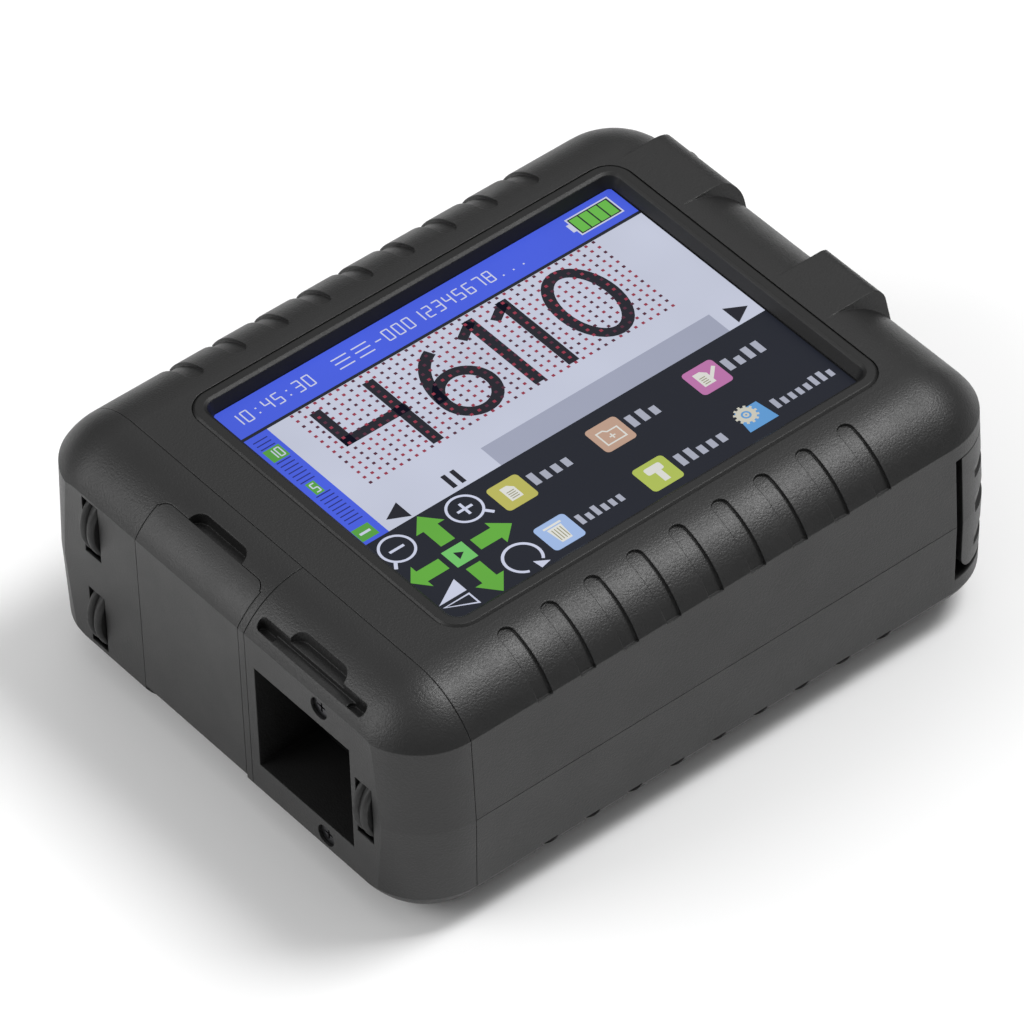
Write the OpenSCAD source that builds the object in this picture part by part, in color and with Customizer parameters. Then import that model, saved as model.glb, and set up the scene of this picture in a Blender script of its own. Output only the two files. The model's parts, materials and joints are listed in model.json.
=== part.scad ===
// Handheld date code inkjet printer.
// Origin at the centre of the base, +Z up through the display,
// print face toward -X, tail toward +X. All lengths in millimetres.

/* [Case] */
// Width over the parting line
case_w = 83; // [80:0.5:90]
// Height from the base to the top face
case_h = 40; // [39:0.5:44]
// Distance of the print face from the origin
front_x = 52.5; // [50:0.5:60]
// Distance of the tail from the origin, at the parting line
tail_x = 53; // [50:0.5:60]
// Corner radius in plan, at the parting line
corner_r = 11; // [10.6:0.1:11.4]
// Radius of the rolled shoulder under the top face
shoulder_r = 12.2; // [12:0.1:13]
// Radius of the rolled foot above the base
foot_r = 11.8; // [11.6:0.1:12.6]
// Wall thickness
wall = 2.2; // [1.8:0.1:2.4]
// Height of the line where the two shells meet
part_z = 19.4; // [18:0.1:21]
// Lean of the walls away from the parting line
draft = 0.45; // [0:0.05:0.6]
// Spacing of the grip grooves
groove_pitch = 7.38; // [6.5:0.01:8]
// Number of grip grooves on each shoulder
groove_n = 9; // [3:1:9]

/* [Display] */
// Centre of the display along the case
disp_x = 2.9; // [0:0.1:4]
// Visible screen length
disp_l = 70.08; // [60:0.01:72]
// Visible screen width
disp_w = 52.56; // [45:0.01:54]
// Height of the touch surface
disp_z = 38.1; // [37.8:0.1:38.4]

/* [Wheels] */
// Rolling radius of a guide wheel
wheel_r = 7; // [6.5:0.1:7.2]
// Width of a guide wheel
wheel_w = 3; // [2.4:0.1:3.2]
// How far a wheel stands out of the print face
wheel_out = 1.3; // [0.8:0.1:1.6]
// Height of a wheel slot
slot_h = 10.2; // [9:0.1:11]

/* [Print window] */
// Window width
window_w = 20.2; // [18:0.1:21]
// Window height
window_h = 18.4; // [16:0.1:19]
// Window centre across the case
window_y = -18.05; // [-19:0.05:-17]
// Window centre height
window_z = 20.05; // [19:0.05:21]

/* [Nozzle cap] */
// Cap width
cap_w = 22.1; // [20:0.1:24]
// Cap centre across the case
cap_y = 6.3; // [5:0.1:7]
// Thickness of the cap plate
cap_t = 2.8; // [2:0.1:3]

/* [Tail cover] */
// Bottom edge of the cover
cover_z0 = 9.9; // [9.6:0.1:10.5]
// Front edge of the cover wings
cover_x0 = 43.6; // [43:0.1:45]
// Thickness of the cover
cover_t = 2; // [1.6:0.1:2.2]
// Hinge axis along the case
hinge_x = 51.4; // [51:0.1:51.6]
// Hinge axis height
hinge_z = 29.7; // [29:0.1:30]

/* [View] */
// Part to draw, or all of them

/* [Hidden] */
$fn = 64;
gap = 0.1;
far = 80;

// case outline
corner_y = case_w / 2 - corner_r;
tail_c = tail_x - corner_r;
front_c = front_x - 10.3;
crease_u = corner_r - draft;
top_c = case_h - shoulder_r;
crease_hi = top_c + sqrt(shoulder_r * shoulder_r - crease_u * crease_u);
crease_lo = foot_r - sqrt(foot_r * foot_r - crease_u * crease_u);

// tail cover and its seat
seat_d = cover_t + 0.3;
seat_wall = seat_d + 2.2;
seat_z0 = cover_z0 - 1;
barrel_r = 1.5;
seat_z1 = hinge_z + barrel_r + 0.2;
seat_x0 = cover_x0 - 1.2;
hinge_y = 27;
knuckle_w = 5.6;
ear_w = 2;
hinge_pin_r = 0.5;

// wheels: y, z of the centre
wheel_x = -front_x - wheel_out + wheel_r;
left_y = 27.5;
upper_z = 28.8;
lower_z = 11.8;
right_y = -30.85;
right_z = 19.9;
axle_r = 1;
run = 0.05;
shaft_y0 = -35.8;
face_screw_y = -21.95;
face_screw_z = [8.15, 32.3];

// cartridge bay
bay_y0 = -31;
bay_y1 = 19.6;
bay_z0 = 10;
bay_z1 = 27.9;
bay_t = 1;
bay_x0 = -39.2;
bay_x1 = 47.9;
neck_x0 = -42.1;

// boards
board_z = 31.6;
board_t = 1;
boss_x = [-35.5, 38];
boss_y = 35.2;
shell_screw_x = [-37, 39];
shell_screw_y = 34.7;
post_r = 2.4;

// ports on the tail
port_x = 52;
bump_a = [15.3, 28.5];
bump_b = [-15.1, -4.3];
bump_wall = 1.1;
usb_y = -9.7;
usb_z = 34.3;
usb_w = 8.9;
usb_h = 3.2;
jack_y = 19.6;
jack_z = 35.2;
jack_r = 2.8;
power_y = 25.1;
power_z = 35;
power_r = 2;
print_x = 8;
print_z = 27;
print_w = 13;
print_h = 6.5;
button_travel = 0.6;
flange_y = 37.9;

// ---------- shared shapes ----------

// half section of the case, u outward from the corner axis, set back by g
module section(g = 0, z0 = 0, z1 = case_h) {
  intersection() {
    union() {
      translate([0, top_c]) circle(shoulder_r - g);
      translate([0, foot_r]) circle(foot_r - g);
      translate([0, foot_r]) square([shoulder_r - g, top_c - foot_r]);
    }
    polygon([[0, -1], [crease_u - g, -1], [crease_u - g, crease_lo - 0.3], [corner_r - g, part_z],
      [crease_u - g, crease_hi + 0.3], [crease_u - g, far], [0, far]]);
    translate([0, z0]) square([far, z1 - z0]);
  }
}

// rounded end of the case, s = 1 tail, s = -1 print face
module end_block(s, g = 0, z0 = 0, z1 = case_h) {
  x = s > 0 ? tail_c : front_c;
  rotate(s > 0 ? 0 : 180) {
    translate([x, corner_y, 0]) rotate_extrude(angle = 90) section(g, z0, z1);
    translate([x, -corner_y, 0]) rotate(270) rotate_extrude(angle = 90) section(g, z0, z1);
    translate([x, corner_y, 0]) rotate([90, 0, 0]) linear_extrude(2 * corner_y) section(g, z0, z1);
  }
}

// straight run of the case between two x stations
module run_block(x0, x1, g = 0, z0 = 0, z1 = case_h) {
  zl = max(z0, g);
  zh = min(z1, case_h - g);
  translate([x0, 0, 0]) rotate([90, 0, 90]) linear_extrude(x1 - x0) union() {
    translate([corner_y, 0]) section(g, z0, z1);
    mirror([1, 0]) translate([corner_y, 0]) section(g, z0, z1);
    translate([-corner_y, zl]) square([2 * corner_y, zh - zl]);
  }
}

module slab(x, y, z) {
  translate([x[0], y[0], z[0]]) cube([x[1] - x[0], y[1] - y[0], z[1] - z[0]]);
}

// rounded rectangle centred on the origin
module rrect(l, w, r) {
  square([l - 2 * r, w], center = true);
  square([l, w - 2 * r], center = true);
  for (i = [-1, 1], j = [-1, 1]) translate([i * (l / 2 - r), j * (w / 2 - r)]) circle(r);
}

// a section carried round a rounded rectangle with corner axes at (hx, hy)
module frame_sweep(hx, hy) {
  for (q = [0:3]) rotate(90 * q) {
    a = q % 2 == 0 ? hx : hy;
    b = q % 2 == 0 ? hy : hx;
    translate([a, b, 0]) rotate_extrude(angle = 90) children();
    translate([a, b, 0]) rotate([90, 0, 0]) linear_extrude(2 * b) children();
  }
}

module rod_x(x0, x1, y, z, r) {
  translate([x0, y, z]) rotate([0, 90, 0]) cylinder(r = r, h = x1 - x0);
}

module rod_y(x, y0, y1, z, r) {
  translate([x, y1, z]) rotate([90, 0, 0]) cylinder(r = r, h = y1 - y0);
}

module rod_z(x, y, z0, z1, r) {
  translate([x, y, z0]) cylinder(r = r, h = z1 - z0);
}

// round-topped cutter for one grip groove, floor_d below the case skin
module groove(x, top) {
  floor_d = 0.5;
  w = 2.6;
  z0 = top ? crease_hi - 0.3 : -1;
  z1 = top ? case_h + 1 : crease_lo + 0.3;
  difference() {
    union() {
      slab([x - w / 2, x + w / 2], [33.4, 45], [z0, z1]);
      rod_z(x, 33.4, z0, z1, w / 2);
    }
    run_block(x - w, x + w, floor_d);
  }
}

module grooves(top) {
  for (i = [0:groove_n - 1], s = [0, 180])
    rotate(s) groove((i - (groove_n - 1) / 2) * groove_pitch, top);
}

// everything further out than depth d below the skin, over the cover's footprint
module seat_cut(d, z0, z1) {
  difference() {
    slab([seat_x0, far], [-far, far], [z0, z1]);
    end_block(1, d);
  }
}

// tail opening for the cartridge
module tail_opening() {
  slab([45, far], [bay_y0 - 1.2, bay_y1 + 1.2], [bay_z0 - gap, bay_z1 + gap]);
}

// port housing standing on the tail shoulder, set back by g
module bump(span, r, g = 0) {
  ramp = 2.6;
  x1 = port_x - g;
  z1 = case_h - g;
  z0 = 33;
  intersection() {
    translate([0, span[1] + ramp, 0]) rotate([90, 0, 0])
      linear_extrude(span[1] - span[0] + 2 * ramp) union() {
        translate([40, z0]) square([x1 - 40, z1 - r - z0]);
        translate([40, z0]) square([x1 - r - 40, z1 - z0]);
        translate([x1 - r, z1 - r]) circle(r);
      }
    translate([40 - 1, 0, 0]) rotate([90, 0, 90]) linear_extrude(20)
      polygon([[span[0] - ramp + g, z0 - 1], [span[1] + ramp - g, z0 - 1],
        [span[1] - g, z1], [span[0] + g, z1]]);
  }
}

// ---------- case ----------

module top_shell() {
  color([0.17, 0.17, 0.17]) difference() {
    union() {
      difference() {
        union() {
          run_block(-front_c + gap, tail_c, 0, part_z + gap / 2);
          end_block(1, 0, part_z + gap / 2);
          bump(bump_a, 4.2);
          bump(bump_b, 2.2);
        }
        run_block(-far, 40.6, wall, part_z - 1);
        run_block(40.5, tail_c, wall, seat_z1 + 2);
        end_block(1, wall, seat_z1 + 2);
        run_block(40.5, tail_c, seat_wall, part_z - 1, seat_z1 + 2.1);
        end_block(1, seat_wall, part_z - 1, seat_z1 + 2.1);
        for (b = [bump_a, bump_b]) slab([40, port_x - 2],
          [b[0] - 0.2 + bump_wall, b[1] + 0.2 - bump_wall], [seat_z1 + 1, case_h - wall]);
        seat_cut(seat_d, part_z - 1, seat_z1);
        seat_cut(seat_d + 0.9, hinge_z - barrel_r - 0.15, seat_z1);
      }
      // hinge ears
      for (s = [-1, 1], e = [-1, 1])
        translate([0, s * hinge_y + e * (knuckle_w + ear_w + 2 * gap) / 2, 0]) {
          rod_y(hinge_x, -ear_w / 2, ear_w / 2, hinge_z, barrel_r - 0.1);
          slab([hinge_x - 2.4, hinge_x], [-ear_w / 2, ear_w / 2],
            [hinge_z - barrel_r + 0.1, hinge_z + barrel_r - 0.1]);
          slab([hinge_x - 1.2, hinge_x + 0.8], [-ear_w / 2, ear_w / 2], [hinge_z, seat_z1 + 0.5]);
        }
      // board bosses and shell screw bosses
      intersection() {
        run_block(-front_c + gap, tail_c, wall / 2, part_z + gap);
        union() {
          for (x = boss_x, s = [-1, 1]) rod_z(x, s * boss_y, board_z + board_t + 0.05, far, 2.4);
          for (x = shell_screw_x, s = [-1, 1]) {
            slab([x - post_r, x + post_r],
              [s > 0 ? shell_screw_y : -far, s > 0 ? far : -shell_screw_y], [part_z + gap, 28]);
            rod_z(x, s * shell_screw_y, part_z + gap, 28, post_r);
          }
        }
      }
    }
    // display opening
    translate([disp_x, 0, 0]) linear_extrude(far) rrect(76.4, 58.6, 4.1);
    rod_y(hinge_x, -hinge_y - 6, hinge_y + 6, hinge_z, hinge_pin_r);
    tail_opening();
    grooves(true);
    // print button and power button holes, ports
    translate([print_x, far, print_z]) rotate([90, 0, 0])
      linear_extrude(far - flange_y) rrect(print_w, print_h, 2.4);
    rod_x(port_x - 4, far, power_y, power_z, power_r);
    rod_x(port_x - 4, far, jack_y, jack_z, jack_r);
    translate([port_x - 4, usb_y, usb_z]) rotate([90, 0, 90]) linear_extrude(far)
      rrect(usb_w + 0.5, usb_h + 0.5, 1.8);
    // pilot holes
    for (x = boss_x, s = [-1, 1]) rod_z(x, s * boss_y, board_z, board_z + 4.4, 0.85);
    for (x = shell_screw_x, s = [-1, 1]) rod_z(x, s * shell_screw_y, part_z, 26.5, 1.05);
  }
}

module bottom_shell() {
  color([0.17, 0.17, 0.17]) difference() {
    union() {
      difference() {
        union() {
          run_block(-front_c + gap, tail_c, 0, 0, part_z - gap / 2);
          end_block(1, 0, 0, part_z - gap / 2);
        }
        run_block(-far, 40.6, wall, wall, part_z + 1);
        run_block(40.5, tail_c, wall, wall, seat_z0 - 2);
        end_block(1, wall, wall, seat_z0 - 2);
        run_block(40.5, tail_c, seat_wall, seat_z0 - 2.1, part_z + 1);
        end_block(1, seat_wall, seat_z0 - 2.1, part_z + 1);
        seat_cut(seat_d, seat_z0, part_z + 1);
      }
      // screw posts and bay cradles
      intersection() {
        run_block(-front_c + gap, tail_c, wall / 2, 0, part_z - gap);
        union() {
          for (x = shell_screw_x, s = [-1, 1]) rod_z(x, s * shell_screw_y, 0, part_z - gap, post_r);
          for (x = [-30, 0, 30]) slab([x - 1, x + 1], [bay_y0 + 4, bay_y1 - 4],
            [wall / 2, bay_z0 - bay_t - gap]);
        }
      }
    }
    tail_opening();
    grooves(false);
    for (x = shell_screw_x, s = [-1, 1]) {
      rod_z(x, s * shell_screw_y, -1, 12, 2.2);
      rod_z(x, s * shell_screw_y, -1, far, 1.25);
    }
  }
}

// slots, pockets and bores for one wheel
module wheel_cut(y, z) {
  rod_y(wheel_x, y - wheel_w / 2 - 0.25, y + wheel_w / 2 + 0.25, z, wheel_r + 0.4);
  slab([-far, wheel_x], [y - wheel_w / 2 - 0.25, y + wheel_w / 2 + 0.25],
    [z - slot_h / 2, z + slot_h / 2]);
}

// blank of an end cap between two y stations
module cap_blank(y0, y1) {
  intersection() {
    end_block(-1);
    slab([-front_x, 0], [y0, y1], [-1, case_h + 1]);
  }
}

// tongues that reach from an end cap into the shells
module tongues(ys) {
  for (y = ys, z = [wall + gap, case_h - wall - gap - 1.2])
    slab([-front_c - 3, -front_c + 3.5], [y - 4, y + 4], [z, z + 1.2]);
}

// seat of the parked nozzle cap, grown by g
module cap_seat(g) {
  w = cap_w + 2 * g;
  translate([-front_x, cap_y, -1]) linear_extrude(case_h + 2) union() {
    square([10.3 + 2 * g - 2, w], center = true);
    square([10.3 + 2 * g, w - 4], center = true);
    for (s = [-1, 1]) translate([3.15 + g, s * (w / 2 - 2)]) circle(2);
  }
}

module left_end_cap() {
  y0 = -6.1;
  rib0 = left_y - wheel_w / 2 - 2.35;
  color([0.17, 0.17, 0.17]) difference() {
    union() {
      difference() {
        cap_blank(y0, far);
        difference() {
          intersection() {
            end_block(-1, wall);
            slab([-front_x + 2.4, 0], [y0 + 1.8, far], [0, case_h]);
          }
          // wheel ribs and the walls round the cap seat
          slab([-far, 0], [rib0, rib0 + 2.1], [0, case_h]);
          slab([-far, 0], [rib0 + 2.6 + wheel_w, rib0 + 4.7 + wheel_w], [0, case_h]);
          slab([-front_x, -front_x + cap_t + 1.9], [y0, rib0], [0, case_h]);
          for (z = [0, case_h - 4.2])
            slab([-far, -front_c - 2.2], [cap_y - 6.6, cap_y + 6.6], [z, z + 4.2]);
        }
      }
      tongues([2, 18]);
    }
    // parked cap seat
    difference() {
      cap_seat(gap);
      intersection() {
        end_block(-1, 1.5);
        slab([-front_x + cap_t + gap, 0], [-far, far], [0, case_h]);
      }
    }
    // thumb scoop beside the cap
    for (z = [case_h - 2.4, 2.4 - far])
      translate([-front_x + 4.2, cap_y, z]) linear_extrude(far) rrect(6, 11.4, 2);
    wheel_cut(left_y, upper_z);
    wheel_cut(left_y, lower_z);
    for (z = [upper_z, lower_z])
      rod_y(wheel_x, rib0 - 1, rib0 + 8.7, z, axle_r);
  }
}

// round-cornered pocket d below the top of the case, l by w in plan
module seat_pocket(x, y, d, l, w, r) {
  translate([x, y, case_h - d]) linear_extrude(far) rrect(l, w, r);
}

module right_end_cap() {
  y1 = -6.1 - gap;
  clip_x = -50.75;
  clip_y = -18.6;
  clip_w = 22.4;
  rib0 = right_y - wheel_w / 2 - 2.35;
  win_y = [window_y - window_w / 2, window_y + window_w / 2];
  win_z = [window_z - window_h / 2, window_z + window_h / 2];
  color([0.17, 0.17, 0.17]) difference() {
    union() {
      difference() {
        cap_blank(-far, y1);
        difference() {
          intersection() {
            end_block(-1, wall);
            slab([-front_x + 2.4, 0], [-far, y1 - 1.6], [0, case_h]);
          }
          // window tunnel, wheel ribs, screw tubes
          slab([-far, 0], [win_y[0] - 0.6, y1], [win_z[0] - 1.6, win_z[1] + 1.6]);
          slab([-far, 0], [rib0, rib0 + 2.1], [0, case_h]);
          slab([-far, 0], [win_y[0] - 0.6, win_y[0] + 1.4], [0, case_h]);
          for (z = face_screw_z) rod_x(-front_x, 0, face_screw_y, z, 2.6);
        }
      }
      tongues([-14, -26]);
    }
    slab([-far, 0], win_y, win_z);
    // clip seat above and below the window
    for (m = [0, 1]) translate([0, 0, m * case_h]) mirror([0, 0, m]) {
      seat_pocket(clip_x, clip_y, 4.6, 1.5, clip_w, 0.7);
      for (s = [-1, 1])
        seat_pocket(clip_x, clip_y + s * (clip_w / 2 - 1.7), 5.2, 1.5, 3.4, 0.7);
      seat_pocket(clip_x + 0.45, clip_y - 0.2, 3.7, 3.9, 11.2, 1.9);
    }
    wheel_cut(right_y, right_z);
    rod_y(wheel_x, rib0 - 1, right_y, right_z, axle_r + run);
    rod_y(wheel_x, right_y, win_y[0] + 0.2, right_z, axle_r + run);
    // screws
    for (z = face_screw_z) {
      rod_x(-far, -front_x + 1.6, face_screw_y, z, 1.7);
      rod_x(-far, 0, face_screw_y, z, 0.95);
    }
  }
}

// ---------- nozzle cap, parked ----------

module nozzle_cap() {
  color([0.17, 0.17, 0.17]) difference() {
    intersection() {
      union() {
        end_block(-1, 0, 13);
        translate([0, 0, 0.6]) end_block(-1, 0, 0, 13);
      }
      cap_seat(0);
      slab([-front_x, 0], [-far, far], [0, case_h]);
    }
    intersection() {
      end_block(-1, 1.3);
      slab([-front_x + cap_t, 0], [-far, far], [0, case_h]);
    }
    cap_pocket();
  }
}

// pocket behind the cap plate that holds the seal
module cap_pocket() {
  slab([-front_x + cap_t - 1.2, -front_x + 5], [cap_y - 9.5, cap_y + 9.5], [11.5, 28.5]);
}

module cap_seal() {
  color([0.35, 0.35, 0.36]) difference() {
    slab([-front_x + cap_t - 1.2 + 0.02, -front_x + cap_t + 0.05],
      [cap_y - 9.4, cap_y + 9.4], [11.6, 28.4]);
    slab([-front_x + cap_t - 0.5, -front_x + cap_t + 1],
      [cap_y - 7.5, cap_y + 7.5], [13.5, 26.5]);
  }
}

// ---------- tail cover ----------

module tail_cover() {
  z1 = hinge_z + barrel_r;
  gill_z = [12.4, 18.75, 25.1];
  color([0.17, 0.17, 0.17]) difference() {
    union() {
      difference() {
        intersection() {
          difference() {
            end_block(1, 0, cover_z0, z1);
            end_block(1, cover_t);
          }
          // rounded top edge and rounded lower wing corners
          rotate([90, 0, 0]) linear_extrude(case_w + 10, center = true) union() {
            translate([cover_x0, cover_z0 + 2.5]) square([hinge_x - cover_x0, z1 - cover_z0 - 2.5]);
            translate([cover_x0 + 2.5, cover_z0]) square([far, hinge_z - cover_z0]);
            translate([cover_x0 + 2.5, cover_z0 + 2.5]) circle(2.5);
            translate([hinge_x, hinge_z]) circle(barrel_r);
          }
        }
        // grip lines round both tail corners
        for (z = gill_z) gill(z);
        // room for the ears
        for (s = [-1, 1], e = [-1, 1])
          translate([0, s * hinge_y + e * (knuckle_w + ear_w + 2 * gap) / 2, 0])
            slab([hinge_x - 3, far], [-ear_w / 2 - gap, ear_w / 2 + gap],
              [hinge_z - barrel_r - 0.4, far]);
      }
      for (s = [-1, 1]) {
        rod_y(hinge_x, s * hinge_y - knuckle_w / 2, s * hinge_y + knuckle_w / 2, hinge_z, barrel_r);
      }
    }
    rod_y(hinge_x, -hinge_y - 8, hinge_y + 8, hinge_z, hinge_pin_r + run);
  }
}

// one grip line: a sloping step cut round the tail corners
module gill(z) {
  d = 0.55;
  difference() {
    for (s = [-1, 1]) translate([tail_c, s * corner_y, 0]) rotate(s > 0 ? 0 : 270)
      rotate_extrude(angle = 90)
        polygon([[corner_r - d, z], [corner_r + 1, z], [corner_r + 1, z + 4], [corner_r - 0.1, z + 3]]);
    for (s = [-1, 1]) slab([0, 46.6], [s > 0 ? 0 : -far, s > 0 ? far : 0], [0, case_h]);
  }
}

module hinge_pins() {
  color([0.72, 0.72, 0.74])
    for (s = [-1, 1]) rod_y(hinge_x, s * hinge_y - 4.7, s * hinge_y + 4.7, hinge_z, hinge_pin_r - 0.02);
}

// ---------- display ----------

module display_bezel() {
  color([0.1, 0.1, 0.1]) translate([disp_x, 0, 0]) frame_sweep(34.15, 25.25)
    polygon([[1.1, disp_z + 0.02], [4, disp_z + 0.02], [4, case_h - 0.2], [3.6, case_h + 0.2],
      [2.4, case_h + 0.25], [1.95, case_h - 0.05]]);
}

module touch_panel() {
  color([0.05, 0.05, 0.07]) translate([disp_x, 0, disp_z - 1.1]) linear_extrude(1.1)
    rrect(76, 58, 4);
}

module lcd_module() {
  color([0.2, 0.3, 0.75]) union() {
    slab([disp_x - 38, disp_x + 38], [-28.9, 31], [34.2, 36.9]);
    slab([disp_x - disp_l / 2, disp_x + disp_l / 2], [-disp_w / 2, disp_w / 2], [36.8, 36.98]);
  }
}

module lcd_ribbon() {
  color([0.75, 0.45, 0.12]) union() {
    slab([-9, 9], [31.05, 33.1], [35.2, 35.35]);
    translate([-9, 33.1, 34.1]) rotate([0, 90, 0]) difference() {
      intersection() {
        cylinder(r = 1.25, h = 18);
        translate([-2, 0, 0]) cube([4, 2, 18]);
      }
      translate([0, 0, -1]) cylinder(r = 1.1, h = 20);
    }
    slab([-9, 9], [27, 33.1], [32.85, 33]);
    slab([-9.5, 9.5], [26, 29.5], [board_z + board_t + 0.02, 33.7]);
  }
}

// ---------- boards ----------

module main_board() {
  color([0.05, 0.3, 0.12]) difference() {
    union() {
      slab([-38, 40.3], [-37, 37], [board_z, board_z + board_t]);
      slab([40, port_x - 4 - button_travel], [-17, 29], [board_z, board_z + board_t]);
    }
    for (x = boss_x, s = [-1, 1]) rod_z(x, s * boss_y, 0, far, 1);
  }
}

module board_chips() {
  z = board_z + board_t + 0.02;
  color([0.08, 0.08, 0.08]) {
    slab([-14, 0], [-7, 7], [z, z + 1.2]);
    slab([8, 18], [-12, -2], [z, z + 1]);
    slab([10, 16], [6, 14], [z, z + 1]);
    slab([-28, -22], [8, 16], [z, z + 1.1]);
    slab([24, 30], [-20, -12], [z, z + 1.1]);
    for (i = [0:5]) slab([-30 + i * 4, -28.4 + i * 4], [-22, -21], [z, z + 0.6]);
    for (i = [0:4]) slab([22 + i * 3, 23.2 + i * 3], [18, 20], [z, z + 0.6]);
  }
}

module cartridge_bay() {
  color([0.09, 0.09, 0.09]) difference() {
    union() {
      slab([bay_x0, bay_x1], [bay_y0 - bay_t, bay_y1 + bay_t], [bay_z0 - bay_t, bay_z1 + bay_t]);
      // collar behind the print window and its screw flange
      slab([neck_x0, bay_x0 + 1], [window_y - window_w / 2 - 0.7, window_y + window_w / 2 + 0.7],
        [bay_z0 - bay_t, window_z + window_h / 2 + 0.8]);
      slab([neck_x0, neck_x0 + 3.6], [face_screw_y - 3, face_screw_y + 3], [6, 34.3]);
    }
    slab([bay_x0 + 1.2, far], [bay_y0, bay_y1], [bay_z0, bay_z1]);
    slab([-far, bay_x0 + 1.3], [window_y - window_w / 2, window_y + window_w / 2],
      [window_z - window_h / 2, window_z + window_h / 2]);
    // contact window in the roof and screw pilots
    slab([-30, -12], [-26, -12], [bay_z1 - 1, far]);
    for (z = face_screw_z) rod_x(-far, neck_x0 + 3.2, face_screw_y, z, 0.8);
  }
}

module contact_board() {
  z = bay_z1 + bay_t + 0.05;
  color([0.05, 0.22, 0.1]) union() {
    slab([-31, -11], [-27, -11], [z, z + 1]);
    slab([-28, -14], [-22, -16], [z + 0.9, board_z - 0.02]);
  }
}

module contact_springs() {
  color([0.85, 0.65, 0.25]) for (i = [0:5], j = [0:3])
    slab([-28 + i * 2.7, -26.6 + i * 2.7], [-24.6 + j * 3.2, -23.6 + j * 3.2],
      [bay_z1 - 0.4, bay_z1 + bay_t + 0.03]);
}

module battery_pack() {
  color([0.1, 0.25, 0.5]) union() {
    slab([-33, 36], [24.6, 32.6], [5, 29.5]);
    slab([-33, 36], [21, 34.6], [8, 26.5]);
    for (y = [24.6, 31], z = [8.6, 25.9]) rod_x(-33, 36, y, z, 3.6);
  }
}

// quarter bend of a battery lead, in the plane across the case
module lead_bend(y, z, a) {
  translate([0, y, z]) rotate([90, 0, 90]) rotate(a) rotate_extrude(angle = 90)
    translate([1.2, 0]) circle(0.5);
}

module battery_plug() {
  color([0.9, 0.88, 0.8]) slab([-19, -12], [30.5, 36.5], [board_z + board_t + 0.02, 33.9]);
  for (x = [-17.1, -13.9]) translate([x, 0, 0]) color([0.75, 0.05, 0.05]) union() {
    rod_y(0, 36.4, 36.9, 33.2, 0.5);
    lead_bend(36.9, 32, 0);
    rod_z(0, 38.1, 25.2, 32, 0.5);
    lead_bend(36.9, 25.2, 270);
    rod_y(0, 34.65, 36.9, 24, 0.5);
  }
}

// ---------- wheels ----------

module hub(y, z, bore) {
  w = wheel_w;
  translate([wheel_x, y + w / 2, z]) rotate([90, 0, 0]) color([0.12, 0.12, 0.12]) difference() {
    union() {
      cylinder(r = 5.2, h = w);
      translate([0, 0, w / 2 - 0.4]) cylinder(r = 5.9, h = 0.8);
    }
    translate([0, 0, -1]) cylinder(r = bore, h = w + 2);
    for (e = [-0.01, w - 0.59]) translate([0, 0, e]) difference() {
      cylinder(r = 4.4, h = 0.6);
      cylinder(r = 2.2, h = 0.6);
    }
  }
}

module tyre(y, z) {
  w = wheel_w;
  translate([wheel_x, y, z]) rotate([90, 0, 0]) color([0.06, 0.06, 0.06])
    rotate_extrude() difference() {
      union() {
        translate([5.25, -w / 2]) square([wheel_r - 5.25 - 0.55, w]);
        for (s = [-1, 1]) translate([wheel_r - 0.75, s * 0.8]) circle(0.7);
      }
      translate([5.2, -0.5]) square([0.8, 1]);
    }
}

module upper_wheel_hub() hub(left_y, upper_z, axle_r + run);
module upper_wheel_tyre() tyre(left_y, upper_z);
module lower_wheel_hub() hub(left_y, lower_z, axle_r + run);
module lower_wheel_tyre() tyre(left_y, lower_z);
module encoder_wheel_hub() hub(right_y, right_z, axle_r);
module encoder_wheel_tyre() tyre(right_y, right_z);

module guide_axles() {
  color([0.72, 0.72, 0.74]) for (z = [upper_z, lower_z])
    rod_y(wheel_x, left_y - 3.7, left_y + 3.7, z, axle_r - 0.01);
}

module encoder_shaft() {
  color([0.72, 0.72, 0.74])
    rod_y(wheel_x, shaft_y0, window_y - window_w / 2 - 0.1, right_z, axle_r - 0.01);
}

module encoder_magnet() {
  color([0.55, 0.55, 0.57]) difference() {
    rod_y(wheel_x, shaft_y0 - 0.4, shaft_y0 + 1, right_z, 1.5);
    rod_y(wheel_x, shaft_y0, shaft_y0 + 2, right_z, axle_r);
  }
}

module encoder_sensor() {
  y = shaft_y0 - 0.6;
  color([0.05, 0.3, 0.12]) union() {
    slab([wheel_x, wheel_x + 4], [y - 1.2, y - 0.6], [right_z - 2.5, right_z + 2.5]);
    slab([wheel_x, wheel_x + 2.4], [y - 0.7, y], [right_z - 1.2, right_z + 1.2]);
  }
}

// ---------- buttons and ports ----------

module power_button() {
  color([0.3, 0.3, 0.3]) union() {
    rod_x(port_x - 3.6, port_x + 0.3, power_y, power_z, power_r - 0.08);
    rod_x(port_x - 3.9, port_x - 2.1, power_y, power_z, power_r + 0.45);
  }
}

module power_switch() {
  x = port_x - 3.9 - button_travel - gap;
  color([0.06, 0.06, 0.06]) slab([x - 1.6, x], [power_y - 2.2, power_y + 2.2],
    [board_z + board_t + 0.02, 37.4]);
}

module print_button() {
  color([0.3, 0.3, 0.3]) union() {
    translate([print_x, 42, print_z]) rotate([90, 0, 0])
      linear_extrude(4) rrect(print_w - 0.2, print_h - 0.2, 2.3);
    translate([print_x, flange_y + 0.9, print_z]) rotate([90, 0, 0])
      linear_extrude(0.9) rrect(print_w + 2, print_h + 2, 2.4);
  }
}

module print_switch() {
  y = flange_y - button_travel - gap;
  color([0.06, 0.06, 0.06]) slab([print_x - 3, print_x + 3], [y - 1.4, y], [print_z - 2.5, print_z + 2.5]);
}

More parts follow.
